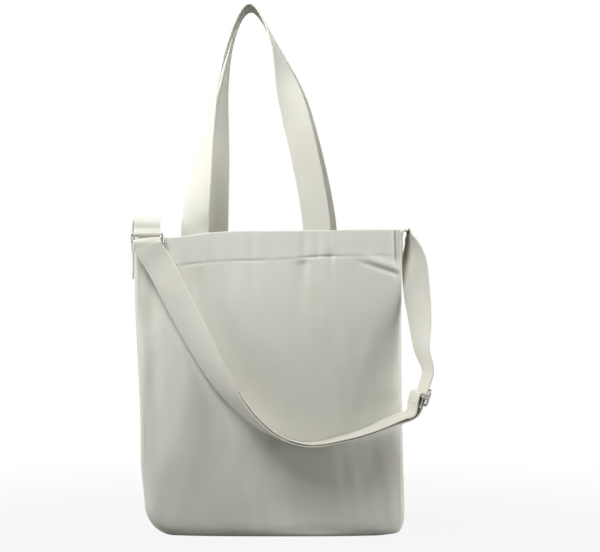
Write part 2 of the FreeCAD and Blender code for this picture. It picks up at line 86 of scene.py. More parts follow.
PANEL_LOW, PANEL_HIGH = box("front_panel")
HALF_WIDTH = PANEL_HIGH[0]
HEIGHT = PANEL_HIGH[2]
HALF_DEPTH = -PANEL_LOW[1]
CORNER = box("base_strip")[1][2]
HEM_HEIGHT = HEIGHT - box("front_hem")[0][2]
LAYER = 1.1 * MM         # thickness of one layer of canvas
HEM_OFFSET = 2.4 * MM    # from the shell's outer face to the turned-in hem's
STITCH_PITCH = 3.2 * MM  # from one stitch to the next
STITCH_LENGTH = 2.4 * MM
HEM_THREAD = 0.75 * MM   # thickness of the thread in the hem's rows
SEAM_THREAD = 0.5 * MM   # thickness of the thread beside the seams
TOPSTITCH = 0.4 * MM     # thickness of the thread along the bands' edges
TACK_THREAD = 0.6 * MM   # thickness of the thread in a sewn end's box
TACK_MARGIN = 5 * MM     # from a sewn end's edges to its box of stitches
TACK_STEPS = 20          # points on each line of such a box


# --- small numeric helpers ---

def ease(value):
    """Smooth step from 0 to 1."""
    value = np.clip(value, 0.0, 1.0)
    return value * value * (3 - 2 * value)


def bump(value, middle, spread):
    """A soft bump of height 1."""
    return np.exp(-((value - middle) / spread) ** 2)


def unit(vectors):
    """Vectors scaled to length 1."""
    vectors = np.asarray(vectors, float)
    return vectors / np.maximum(np.linalg.norm(vectors, axis=-1, keepdims=True), 1e-12)


def distances(points):
    """How far along a line each of its points lies."""
    return np.concatenate(((0,), np.cumsum(np.linalg.norm(np.diff(points, axis=0), axis=1))))


def square_to(acrosses, alongs):
    """Across directions made square to the along directions."""
    return unit(acrosses - alongs * np.sum(acrosses * alongs, axis=1, keepdims=True))


def joined_meshes(pieces):
    """Points and faces of several pieces as one."""
    points = []
    faces = []
    for more_points, more_faces in pieces:
        base = len(points)
        points.extend(more_points)
        faces.extend(tuple(base + corner for corner in face) for face in more_faces)
    return points, faces


def waves(seed, count, longest, shortest):
    """A smooth random field over two coordinates: seeded plane waves."""
    rng = np.random.default_rng(seed)
    lengths = np.geomspace(longest, shortest, count)
    angles = rng.uniform(0, 2 * math.pi, count)
    phases = rng.uniform(0, 2 * math.pi, count)

    def field(first, second):
        total = np.zeros(np.broadcast(first, second).shape)
        for length, angle, phase in zip(lengths, angles, phases):
            along = first * math.cos(angle) + second * math.sin(angle)
            total += (length / longest) ** 0.7 * np.sin(2 * math.pi * along / length + phase)
        return total / math.sqrt(count)

    return field


# --- meshes ---

def make_mesh(name, points, faces, uvs=None, smooth=True):
    """A mesh object from points and faces, with one UV pair for each corner."""
    mesh = bpy.data.meshes.new(name)
    mesh.from_pydata([tuple(point) for point in points], [], faces)
    if uvs is not None:
        layer = mesh.uv_layers.new(name="cloth")
        corners = np.zeros(len(mesh.loops), dtype=int)
        mesh.loops.foreach_get("vertex_index", corners)
        layer.data.foreach_set("uv", np.asarray(uvs, float)[corners].ravel())
    mesh.validate()
    mesh.polygons.foreach_set("use_smooth", [smooth] * len(mesh.polygons))
    thing = bpy.data.objects.new(name, mesh)
    bpy.context.scene.collection.objects.link(thing)
    return thing


def add_modifier(thing, kind, **settings):
    """A modifier with its settings."""
    modifier = thing.modifiers.new(kind.title(), kind)
    for key, value in settings.items():
        setattr(modifier, key, value)
    return modifier


def dress(thing, material):
    """Give a piece its material."""
    thing.data.materials.clear()
    thing.data.materials.append(material)
    return thing


# --- materials ---

class Nodes:
    """Short calls for building a node material."""

    def __init__(self, name):
        self.material = bpy.data.materials.new(name)
        self.material.use_nodes = True
        self.tree = self.material.node_tree
        self.shader = self.tree.nodes["Principled BSDF"]

    def add(self, kind, **settings):
        """A node, with its properties and its inputs' values."""
        made = self.tree.nodes.new(kind)
        for key, value in settings.items():
            if hasattr(made, key):
                setattr(made, key, value)
            else:
                made.inputs[key.replace("_", " ")].default_value = value
        return made

    def link(self, source, target):
        """Join an output to an input."""
        self.tree.links.new(source, target)

    def texture(self, kind, source, **settings):
        """A texture node laid out by a source of coordinates."""
        made = self.add(kind, **settings)
        self.link(source, made.inputs["Vector"])
        return made

    def noise(self, source, **settings):
        """The strength of a noise laid out by a source of coordinates."""
        return self.texture("ShaderNodeTexNoise", source, **settings).outputs[0]

    def shade_with(self, **values):
        """Constant values on the shader's own sockets."""
        for key, value in values.items():
            self.shader.inputs[key.replace("_", " ")].default_value = value

    def relief(self, height, strength, distance):
        """A bump on the shader's surface."""
        surface = self.add("ShaderNodeBump", Strength=strength, Distance=distance)
        self.link(height, surface.inputs["Height"])
        self.link(surface.outputs[0], self.shader.inputs["Normal"])

    def math(self, operation, first, second):
        """One arithmetic step on two numbers or outputs."""
        made = self.tree.nodes.new("ShaderNodeMath")
        made.operation = operation
        for socket, value in zip(made.inputs, (first, second)):
            if isinstance(value, (int, float)):
                socket.default_value = value
            else:
                self.link(value, socket)
        return made.outputs[0]

    def ramp(self, source, stops):
        """A colour ramp over a number."""
        made = self.tree.nodes.new("ShaderNodeValToRGB")
        while len(made.color_ramp.elements) < len(stops):
            made.color_ramp.elements.new(0.5)
        for element, (place, colour) in zip(made.color_ramp.elements, stops):
            element.position = place
            element.color = (*colour, 1)
        self.link(source, made.inputs[0])
        return made.outputs[0]


def linear(red, green, blue):
    """A display colour from 0 to 255 as a linear one."""
    def channel(value):
        value = value / 255
        return value / 12.92 if value <= 0.04045 else ((value + 0.055) / 1.055) ** 2.4
    return channel(red), channel(green), channel(blue)


def shade(colour, amount):
    """A colour made lighter or darker."""
    return tuple(min(part * amount, 1.0) for part in colour)


def canvas(name, colour, warm, pitch, relief):
    """Plain-woven cotton: warp and weft, slubs, flecks of seed, and soft fuzz."""
    nodes = Nodes(name)
    place = nodes.add("ShaderNodeTexCoord")
    split = nodes.add("ShaderNodeSeparateXYZ")
    nodes.link(place.outputs["UV"], split.inputs[0])
    jitter = nodes.math("MULTIPLY", nodes.noise(place.outputs["UV"], Scale=160.0, Detail=2.0), 2.2)
    turn = 2 * math.pi / pitch
    warp, weft = (nodes.math("SINE", nodes.math("ADD", nodes.math("MULTIPLY", output, turn), jitter), 0)
                  for output in split.outputs[:2])
    weave = nodes.math("MULTIPLY", nodes.math("ADD", nodes.math("MULTIPLY", warp, weft), 1.0), 0.5)

    def streaks(along, across, scale=1100.0):
        """Noise drawn out along one thread direction."""
        stretch = nodes.add("ShaderNodeMapping")
        stretch.inputs["Scale"].default_value = (along, across, 1)
        nodes.link(place.outputs["UV"], stretch.inputs["Vector"])
        return nodes.noise(stretch.outputs[0], Scale=scale, Detail=3.0, Roughness=0.6)

    slubs = nodes.math("ADD", streaks(1.0, 0.10), streaks(0.10, 1.0))
    slubs = nodes.math("MULTIPLY", slubs, 0.5)
    cloud = nodes.noise(place.outputs["Object"], Scale=14.0, Detail=4.0, Roughness=0.55)
    tone = nodes.math("ADD", nodes.math("MULTIPLY", slubs, 0.3), nodes.math("MULTIPLY", cloud, 0.7))
    base = nodes.ramp(tone, ((0.20, shade(warm, 0.985)), (0.5, colour), (0.80, shade(colour, 1.01))))

    seeds = nodes.texture("ShaderNodeTexVoronoi", place.outputs["UV"], Scale=210.0)
    fleck = nodes.math("LESS_THAN", seeds.outputs["Distance"], 0.055)
    pick = nodes.add("ShaderNodeSeparateXYZ")
    nodes.link(seeds.outputs["Color"], pick.inputs[0])
    rare = nodes.math("MULTIPLY", fleck, nodes.math("GREATER_THAN", pick.outputs[0], 0.86))
    speck = nodes.add("ShaderNodeMixRGB")
    nodes.link(nodes.math("MULTIPLY", rare, 0.35), speck.inputs[0])
    nodes.link(base, speck.inputs[1])
    speck.inputs[2].default_value = (*linear(150, 128, 92), 1)

    # Painted shade: the gaps between the threads are painted darker, where the weave's hollows lie in shade.
    gaps = nodes.add("ShaderNodeMixRGB", blend_type="MULTIPLY")
    nodes.link(nodes.math("MULTIPLY", nodes.math("SUBTRACT", 1.0, weave), 0.10), gaps.inputs[0])
    nodes.link(speck.outputs[0], gaps.inputs[1])
    gaps.inputs[2].default_value = (0.72, 0.70, 0.64, 1)
    nodes.link(gaps.outputs[0], nodes.shader.inputs["Base Color"])

    rough = nodes.math("ADD", nodes.math("MULTIPLY", slubs, 0.16), 0.78)
    nodes.link(rough, nodes.shader.inputs["Roughness"])
    height = nodes.math("ADD", nodes.math("MULTIPLY", weave, 0.55), nodes.math("MULTIPLY", slubs, 0.9))
    nodes.relief(height, relief, 0.5 * MM)
    nodes.shade_with(Sheen_Weight=0.12, Sheen_Roughness=0.6, Specular_IOR_Level=0.25)
    return nodes.material


def thread_material(name, colour):
    """Twisted sewing thread."""
    nodes = Nodes(name)
    place = nodes.add("ShaderNodeTexCoord")
    twist = nodes.texture("ShaderNodeTexWave", place.outputs["Object"], Scale=900.0, Distortion=1.5)
    twist.bands_direction = "DIAGONAL"
    # Painted shade: the grooves of the twist are painted darker than its ridges.
    base = nodes.ramp(twist.outputs[1], ((0.0, shade(colour, 0.86)), (1.0, colour)))
    nodes.link(base, nodes.shader.inputs["Base Color"])
    nodes.relief(twist.outputs[1], 0.4, 0.1 * MM)
    nodes.shade_with(Roughness=0.6)
    return nodes.material


def nickel(name):
    """Plated steel: bright, with soft smudges and fine rubbing marks."""
    nodes = Nodes(name)
    place = nodes.add("ShaderNodeTexCoord")
    smudge = nodes.noise(place.outputs["Object"], Scale=180.0, Detail=5.0, Roughness=0.6)
    rub = nodes.noise(place.outputs["Object"], Scale=1400.0, Detail=2.0)
    base = nodes.ramp(smudge, ((0.3, (0.20, 0.195, 0.19)), (0.7, (0.42, 0.41, 0.39))))
    nodes.link(base, nodes.shader.inputs["Base Color"])
    rough = nodes.math("ADD", nodes.math("MULTIPLY", smudge, 0.22), 0.12)
    nodes.link(rough, nodes.shader.inputs["Roughness"])
    nodes.relief(rub, 0.15, 0.1 * MM)
    nodes.shade_with(Metallic=1.0)
    return nodes.material


COTTON = linear(220, 220, 210)
COTTON_WARM = linear(217, 213, 197)
BODY_CANVAS = canvas("body_canvas", COTTON, COTTON_WARM, 1.3 * MM, 0.35)
STRAP_CANVAS = canvas("strap_canvas", linear(220, 219, 208), COTTON_WARM, 1.1 * MM, 0.35)
THREAD = thread_material("sewing_thread", linear(226, 224, 212))
NICKEL = nickel("plated_steel")


# --- the bag's shell ---

EDGE_BACK = 6 * MM       # how far the seams lie behind the panel's face
EDGE_ROLL = 20 * MM      # over how much of the panel it rolls back to the seam
PILLOW = 8 * MM          # how far the panel's sides lean back before that
BROAD = {FRONT: waves(3, 6, 0.30, 0.09), BACK: waves(11, 6, 0.30, 0.09)}
FINE = {FRONT: waves(5, 9, 0.060, 0.018), BACK: waves(17, 9, 0.060, 0.018)}
PUCKER = {FRONT: waves(7, 7, 0.022, 0.006), BACK: waves(19, 7, 0.022, 0.006)}


def half_width_at(z):
    """Half the panel's width at a height, with its rounded lower corners."""
    low = np.clip(CORNER - z, 0, CORNER)
    return HALF_WIDTH - CORNER + np.sqrt(CORNER ** 2 - low ** 2)


def from_edge(x, z):
    """Distance from a point of a panel to its sewn edge."""
    beyond = np.abs(x) - (HALF_WIDTH - CORNER)
    round_part = CORNER - np.hypot(np.maximum(beyond, 0), np.maximum(CORNER - z, 0))
    straight = np.minimum(HALF_WIDTH - np.abs(x), z)
    return np.maximum(np.where((beyond > 0) & (z < CORNER), round_part, straight), 0)


def hem_line(x):
    """Height of the hem's row of stitches."""
    return HEIGHT - HEM_HEIGHT + 5 * MM * ease((x + 0.02) / 0.10)


def handle_feet(side):
    """Middles of a hand loop's two feet along the top edge."""
    name = "front" if side == FRONT else "back"
    feet = []
    for end in ("left", "right"):
        low, high = box("%s_handle_%s_end" % (name, end))
        feet.append((low[0] + high[0]) / 2)
    return feet


FEET = {side: handle_feet(side) for side in (FRONT, BACK)}
FOOT_HALF = (box("front_handle_left_end")[1][0] - box("front_handle_left_end")[0][0]) / 2


def pulled(x):
    """How tight the hem's row of stitches is pulled along the top edge."""
    return 0.35 + 1.5 * bump(x, 0.068, 0.024) + 0.7 * bump(x, -0.028, 0.016) + 0.6 * bump(x, -0.094, 0.010)


def folds(x, z, side):
    """How far the cloth stands out from the panel's smooth shape."""
    line = hem_line(x)
    below = np.maximum(line - z, 0)
    above = np.maximum(z - line, 0)
    near_hem = np.exp(-below / 0.060) * np.exp(-above / 0.060)
    total = 2.6 * MM * BROAD[side](x, z)
    total += 0.45 * MM * FINE[side](x * 0.9, z * 0.45)
    total += 0.8 * MM * FINE[side](x * 1.3, z * 0.12) * near_hem * (0.3 + pulled(x))
    # The hem is doubled cloth, its row of stitches a groove with puckers.
    total += 0.35 * MM * ease((z - line) / (3 * MM))
    total -= 0.9 * MM * pulled(x) * bump(z, line, 1.6 * MM)
    total += 0.55 * MM * PUCKER[side](x, z * 0.3) * np.exp(-np.abs(z - line) / 0.009) * (0.3 + pulled(x))
    # The hand loops draw the cloth up into folds under the edges of their feet.
    for foot in FEET[side]:
        for edge in (-1, 1):
            crease = foot + edge * FOOT_HALF + edge * 0.10 * below
            depth = 1.5 * MM * np.exp(-below / 0.055) * np.exp(-above / 0.04)
            total -= depth * bump(x, crease, 6 * MM + 0.12 * below)
        total += 0.8 * MM * np.exp(-below / 0.05) * bump(x, foot, FOOT_HALF)
    if side == FRONT:
        # A pull fold runs from the hem down to the right seam.
        start = np.array((0.112, 0.366))
        end = np.array((0.176, 0.345))
        run = end - start
        length = np.linalg.norm(run)
        along = ((x - start[0]) * run[0] + (z - start[1]) * run[1]) / length
        off = ((x - start[0]) * run[1] - (z - start[1]) * run[0]) / length
        grown = ease(along / 0.035)
        total += 2.4 * MM * grown * (bump(off, -3.5 * MM, 5 * MM) - bump(off, 3.5 * MM, 3 * MM))
        # The side seam's fold beside the top right corner.
        slit = bump(x, HALF_WIDTH - 7 * MM, 2.6 * MM) * ease((z - 0.350) / 0.015)
        total -= 6.0 * MM * slit
        hollow = bump(x, 0.046 - 0.05 * below, 9 * MM + 0.08 * below)
        total -= 2.6 * MM * hollow * np.exp(-below / 0.13) * ease(below / 0.01)
        total += 1.8 * MM * bump(x, 0.088 + 0.10 * below, 10 * MM) * np.exp(-below / 0.09)
        # A long soft ridge down the left side, with a hollow beside the seam.
        tall = ease((0.35 - z) / 0.07) * ease((z - 0.07) / 0.12)
        total += tall * (4.0 * MM * bump(x, -0.112, 0.026) - 2.5 * MM * bump(x, -0.156, 0.012))
    return total * ease(from_edge(x, z) / (9 * MM))


def panel_points(x, z, side):
    """Points of the front or back panel's outer face."""
    x = np.asarray(x, float)
    z = np.asarray(z, float)
    edge = from_edge(x, z)
    rest = 1 - np.clip(edge / EDGE_ROLL, 0, 1)
    inset = EDGE_BACK * (1 - np.sqrt(np.maximum(1 - rest ** 2, 0)))
    share = x / half_width_at(z)
    belly = 5 * MM * (1 - share ** 2) * bump(z, 0.14, 0.13)
    mouth = 3 * MM * (1 - share ** 2) * ease((z - 0.30) / 0.10)
    lean = PILLOW * (np.abs(share) ** 3.5) * ease((0.36 - z) / 0.10)
    tucked = 6 * MM * ease((0.14 - z) / 0.12)
    out = HALF_DEPTH - inset + belly - lean - tucked - mouth * (side == BACK) + folds(x, z, side)
    return placed(x, side * out, z)


def placed(x, y, z):
    """Lean and droop of the whole shell."""
    share = np.clip(x / HALF_WIDTH, -1, 1)
    left_in = (7 * MM * ease((0.33 - z) / 0.20) + 6 * MM * ease((0.11 - z) / 0.09)) * ease((1 - share) / 2)
    right_out = 3 * MM * ease((0.24 - z) / 0.20) * ease((1 + share) / 2)
    droop = 8.5 * MM * bump(x, -0.132, 0.050) * ease((z - 0.25) / 0.15)
    lift = 1.5 * MM * ease(x / 0.15) * ease((z - 0.25) / 0.15)
    # The lower right corner stands squarer than the left one.
    corner = ease((x - (HALF_WIDTH - 1.3 * CORNER)) / CORNER) * ease((1.2 * CORNER - z) / CORNER)
    square = 12 * MM * corner * (1 - np.clip(from_edge(x, z) / (25 * MM), 0, 1))
    drop = square * 0.6 * np.clip(z / (12 * MM), 0, 1)
    return np.stack((x + left_in + right_out + square * 0.5, y + 0 * x, z - droop + lift - drop), axis=-1)


def bag_shell():
    """The whole bag as one lofted sheet, turned in at the mouth."""
    columns = 120
    corner_rows = 14
    wall_rows = 68
    mouth_rows = 52
    mouth_zone = 65 * MM
    angles = np.linspace(0, math.pi / 2, corner_rows + 1)[:-1]
    wall = np.linspace(CORNER, HEIGHT - mouth_zone, wall_rows + 1)[:-1]
    heights = np.concatenate((CORNER * (1 - np.cos(angles)), wall,
                              np.linspace(HEIGHT - mouth_zone, HEIGHT, mouth_rows + 1)))
    rows = len(heights)
    shares = np.linspace(-1, 1, columns + 1)
    grid_z = np.repeat(heights[:, None], columns + 1, axis=1)
    grid_x = half_width_at(grid_z) * shares[None, :]
    grids = {side: panel_points(grid_x, grid_z, side) for side in (FRONT, BACK)}

    points = []
    uvs = []
    faces = []

    def add_points(array, uv):
        """Store an array of points and give their numbers in the same layout."""
        first = len(points)
        points.extend(array.reshape(-1, 3))
        uvs.extend(uv.reshape(-1, 2))
        return np.arange(first, len(points)).reshape(array.shape[:-1])

    flat = np.stack((grid_x, grid_z), axis=-1)
    number = {side: add_points(grids[side], flat) for side in (FRONT, BACK)}

    def add_grid(numbers, flip):
        """Faces between the neighbours of a grid of point numbers."""
        low_left = numbers[:-1, :-1].ravel()
        low_right = numbers[:-1, 1:].ravel()
        high_right = numbers[1:, 1:].ravel()
        high_left = numbers[1:, :-1].ravel()
        quads = np.stack((low_left, low_right, high_right, high_left), axis=1)
        faces.extend((quads[:, ::-1] if flip else quads).tolist())

    add_grid(number[FRONT], False)
    add_grid(number[BACK], True)

    # The gusset: down the left seam, under the bag and up the right seam.
    def outline(numbers):
        """A panel's sewn edge, from its top left corner round to its top right."""
        return np.concatenate((numbers[::-1, 0], numbers[0, 1:-1], numbers[:, -1]))

    seam = {side: outline(number[side]) for side in (FRONT, BACK)}
    all_points = np.array(points)
    front_edge = all_points[seam[FRONT]]
    back_edge = all_points[seam[BACK]]
    tangent = unit(np.gradient(front_edge, axis=0) * (1, 0, 1))
    inward = np.stack((-tangent[:, 2], 0 * tangent[:, 0], tangent[:, 0]), axis=-1)
    lengths = distances(front_edge)
    across = 16
    height = front_edge[:, 2]
    right_side = front_edge[:, 0] > 0
    tuck = (np.where(right_side, 9, 7) * MM) * ease((height - 0.09) / 0.22)
    crumple = waves(23, 6, 0.12, 0.03)
    gusset_rows = [seam[FRONT]]
    for step in range(1, across):
        share = step / across
        middle = front_edge * (1 - share) + back_edge * share
        curve = math.sin(math.pi * share)
        fold = tuck * curve ** 1.5 + 1.2 * MM * curve * crumple(lengths, share * 0.07) * ease(height / 0.05)
        row = middle + inward * fold[:, None]
        uv = np.stack((lengths, np.full(len(lengths), share * 2 * HALF_DEPTH)), axis=-1)
        gusset_rows.append(add_points(row, uv))
    gusset_rows.append(seam[BACK])
    gusset = np.array(gusset_rows)
    add_grid(gusset, True)

    # The mouth: a fold at the top edge and the hem turned in below it.
    all_points = np.array(points)
    left_side = gusset[1:-1, :rows]
    right_side = gusset[1:-1, ::-1][:, :rows]

    def ring_at(depth):
        """The shell's loop of point numbers, some rows below the top edge."""
        row = rows - 1 - depth
        return np.concatenate((number[FRONT][row, :], right_side[:, depth],
                               number[BACK][row, ::-1], left_side[::-1, depth]))

    def inside(loop):
        """Level directions into the bag at each point of a loop."""
        ahead = np.roll(loop, -1, axis=0) - np.roll(loop, 1, axis=0)
        normal = np.stack((-ahead[:, 1], ahead[:, 0], 0 * ahead[:, 0]), axis=-1)
        return unit(normal)

    rim = ring_at(0)
    rim_points = all_points[rim]
    radius = HEM_OFFSET / 2
    rings = [rim]
    run = distances(rim_points)
    hem_rows = int(round(HEM_HEIGHT / mouth_zone * mouth_rows))
    for step in range(1, 5):
        angle = math.pi * step / 5
        ring = rim_points + inside(rim_points) * (radius * (1 - math.cos(angle)))
        ring = ring + UP * (radius * math.sin(angle))
        rings.append(add_points(ring, np.stack((run, np.full(len(run), HEIGHT + step * MM)), axis=-1)))
    for depth in range(0, hem_rows + 1):
        wall = all_points[ring_at(depth)]
        ring = wall + inside(wall) * HEM_OFFSET
        level = np.full(len(run), HEIGHT + 5 * MM + depth * HEM_HEIGHT / hem_rows)
        rings.append(add_points(ring, np.stack((run, level), axis=-1)))
    for lower, upper in zip(rings, rings[1:]):
        strip = np.stack((np.append(lower, lower[0]), np.append(upper, upper[0])))
        add_grid(strip, False)

    shell = make_mesh("bag_shell", points, faces, uvs)
    add_modifier(shell, "SOLIDIFY", thickness=LAYER, offset=-1.0)
    dress(shell, BODY_CANVAS)
    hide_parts("front_panel", "back_panel", "base_strip", "left_side_strip", "right_side_strip",
                "front_hem", "back_hem", "left_side_hem", "right_side_hem")
    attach(shell, "bag")
    return shell


# --- stitches ---

def at_mark(mark, marks, rows):
    """The row of numbers at one distance along a line, between those of its points."""
    return np.array([np.interp(mark, marks, rows[:, axis]) for axis in range(3)])


def stitch_row(points, outward, thick):
    """Points and faces of a row of single stitches along a line on a surface."""
    points = np.asarray(points, float)
    marks = distances(points)
    count = max(int(marks[-1] / STITCH_PITCH), 1)
    middles = (np.arange(count) + 0.5) * marks[-1] / count
    made = []
    faces = []
    sides = 6
    profile = ((-0.5, 0.0), (-0.36, 0.75), (0.0, 1.0), (0.36, 0.75), (0.5, 0.0))
    for middle in middles:
        ends = [at_mark(middle + shift * STITCH_LENGTH, marks, points) for shift in (-0.5, 0.5)]
        out = unit(at_mark(middle, marks, outward))
        along = unit(ends[1] - ends[0])
        side = unit(np.cross(along, out))
        centre = (ends[0] + ends[1]) / 2
        first = len(made)
        for place, wide in profile:
            ring_centre = centre + along * (place * STITCH_LENGTH) - out * (thick * 0.25 * (2 * place) ** 2)
            if wide == 0:
                made.append(ring_centre)
                continue
            for turn in range(sides):
                angle = 2 * math.pi * turn / sides
                spoke = side * math.cos(angle) + out * math.sin(angle) * 0.8
                made.append(ring_centre + spoke * (wide * thick / 2))
        for turn in range(sides):
            following = (turn + 1) % sides
            faces.append((first, first + 1 + following, first + 1 + turn))
            for ring in range(2):
                low = first + 1 + ring * sides
                faces.append((low + turn, low + following, low + sides + following, low + sides + turn))
            last = first + 1 + 3 * sides
            low = last - sides
            faces.append((low + turn, low + following, last))
    return made, faces


def stitches(name, rows, body, replaced=(), thick=HEM_THREAD):
    """Several rows of stitches as one piece. Each row is (points, outward)."""
    made = [stitch_row(line, outward, thick) for line, outward in rows]
    piece = make_mesh(name, *joined_meshes(made))
    dress(piece, THREAD)
    if replaced:
        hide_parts(*replaced)
    if body:
        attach(piece, body)
    return piece


def crossed_box(half, low, high):
    """The lines of a box of stitches with a cross in it, as (across, height) pairs."""
    corners = [(-half, low), (half, low), (half, high), (-half, high), (-half, low), (half, high)]
    pairs = list(zip(corners, corners[1:])) + [((half, low), (-half, high))]
    return [np.linspace(first, last, TACK_STEPS).T for first, last in pairs]


def panel_line(x, z, side):
    """A line on a panel's face with its outward directions."""
    step = 1 * MM
    here = panel_points(x, z, side)
    right = panel_points(x + step, z, side) - here
    up = panel_points(x, z + step, side) - here
    outward = unit(np.cross(right, up)) * (-side)
    outward = np.where(outward[:, 1:2] * side < 0, -outward, outward)
    return here + outward * 0.1 * MM, outward


def bag_stitches():
    """The hem's rows and the rows beside the seams."""
    for name, side in (("front", FRONT), ("back", BACK)):
        x = np.linspace(-HALF_WIDTH + 10 * MM, HALF_WIDTH - 10 * MM, 400)
        row = panel_line(x, hem_line(x), side)
        stitches(name + "_hem_thread", [row], "bag", [name + "_hem_thread"])
        inset = 5 * MM
        radius = CORNER - inset
        down = np.linspace(HEIGHT - HEM_HEIGHT - 4 * MM, CORNER, 150)
        bend = np.linspace(0, math.pi / 2, 40)[1:]
        left_x = np.concatenate((np.full(150, -HALF_WIDTH + inset),
                                 -(HALF_WIDTH - CORNER) - radius * np.cos(bend)))
        left_z = np.concatenate((down, CORNER - radius * np.sin(bend)))
        level = np.linspace(-(HALF_WIDTH - CORNER), HALF_WIDTH - CORNER, 120)[1:-1]
        x = np.concatenate((left_x, level, -left_x[::-1]))
        z = np.concatenate((left_z, np.full(len(level), inset), left_z[::-1]))
        row = panel_line(x, z, side)
        stitches(name + "_seam_thread", [row], "bag", [name + "_seam_thread"], thick=SEAM_THREAD)


# --- bands: hand loops, strap and tab ---

def band_profile(width, web, edge_line):
    """The section of a folded and topstitched band, as (across, out) pairs."""
    half = width / 2
    skin = web / 2
    top = []
    for share in np.linspace(-1, 1, 25):
        across = share * (half - skin * 0.9)
        groove = 0.16 * web * bump(abs(across), half - edge_line, 1.1 * MM)
        crown = 0.05 * web * (1 - share ** 2)
        top.append((across, skin + crown - groove))
    right = [(half - skin * 0.9 + skin * 0.9 * math.sin(angle), skin * math.cos(angle))
             for angle in (math.pi * 0.25, math.pi * 0.5, math.pi * 0.75)]
    bottom = [(across, -out) for across, out in reversed(top)]
    left = [(-across, out) for across, out in reversed(right)]
    return top + right + bottom + left


def sweep(name, centres, alongs, acrosses, width, web, edge_line=3 * MM, seed=1, swell=0.35 * MM):
    """A band swept along stations, closed at both ends, with UVs in metres."""
    centres = np.asarray(centres, float)
    alongs = unit(alongs)
    acrosses = square_to(np.asarray(acrosses, float), alongs)
    outs = np.cross(alongs, acrosses)
    marks = distances(centres)
    profile = np.array(band_profile(width, web, edge_line))
    ripple = waves(seed, 6, 0.12, 0.02)
    swells = swell * ease(np.minimum(marks, marks[-1] - marks) / (15 * MM))
    points = []
    uvs = []
    around = len(profile)
    span = np.cumsum(np.linalg.norm(np.diff(profile, axis=0, append=profile[:1]), axis=1))
    for centre, across, out, mark, size in zip(centres, acrosses, outs, marks, swells):
        lift = size * ripple(mark, profile[:, 0] * 0.8)
        sway = size * 0.8 * ripple(mark + 3.0, 0.0)
        ring = centre + np.outer(profile[:, 0] + sway, across) + np.outer(profile[:, 1] + lift, out)
        points.extend(ring)
        uvs.extend(np.stack((np.full(around, mark), span), axis=-1))
    faces = []
    for station in range(len(centres) - 1):
        low = station * around
        for corner in range(around):
            following = (corner + 1) % around
            faces.append((low + corner, low + following, low + around + following, low + around + corner))
    faces.append(tuple(range(around))[::-1])
    last = (len(centres) - 1) * around
    faces.append(tuple(range(last, last + around)))
    band = make_mesh(name, points, faces, uvs)
    # The cut ends have sharp edges, so that bands that meet shade as one.
    sharp = band.data.attributes.new("sharp_edge", "BOOLEAN", "EDGE")
    for edge in band.data.edges:
        first, second = edge.vertices
        sharp.data[edge.index].value = max(first, second) < around or min(first, second) >= last
    return band


def edge_rows(centres, alongs, acrosses, width, web, edge_line=3 * MM, faces=(-1, 1)):
    """Lines for the topstitching along both edges of a band."""
    alongs = unit(alongs)
    acrosses = square_to(acrosses, alongs)
    outs = np.cross(alongs, acrosses)
    rows = []
    for face in faces:
        for edge in (-1, 1):
            line = centres + acrosses * (edge * (width / 2 - edge_line)) + outs * (face * web * 0.34)
            rows.append((line, outs * face))
    return rows


MOUNTS = {mount["name"]: mount for mount in frame["record"]["mounts"]}
PEAK = np.array(MOUNTS["hand_loops_peak"]["pos_m"])

# Each leg of a hand loop: how far it leans in, over what share of the rise it stays
# straight, how far out its shoulder lies, and between which shares it turns edge-on.
LEGS = {(FRONT, -1): (6 * MM, 0.30, 30 * MM, -0.20, 0.84), (FRONT, 1): (5 * MM, 0.27, 28 * MM, 0.42, 0.94),
        (BACK, -1): (0 * MM, 0.35, 34 * MM, 0.0, 0.88), (BACK, 1): (5 * MM, 0.27, 28 * MM, 0.42, 0.94)}


def bezier(poles, share):
    """A cubic Bezier curve's points."""
    a, b, c, d = (np.asarray(pole, float) for pole in poles)
    s = np.asarray(share, float)[:, None]
    return a * (1 - s) ** 3 + 3 * b * s * (1 - s) ** 2 + 3 * c * s ** 2 * (1 - s) + d * s ** 3


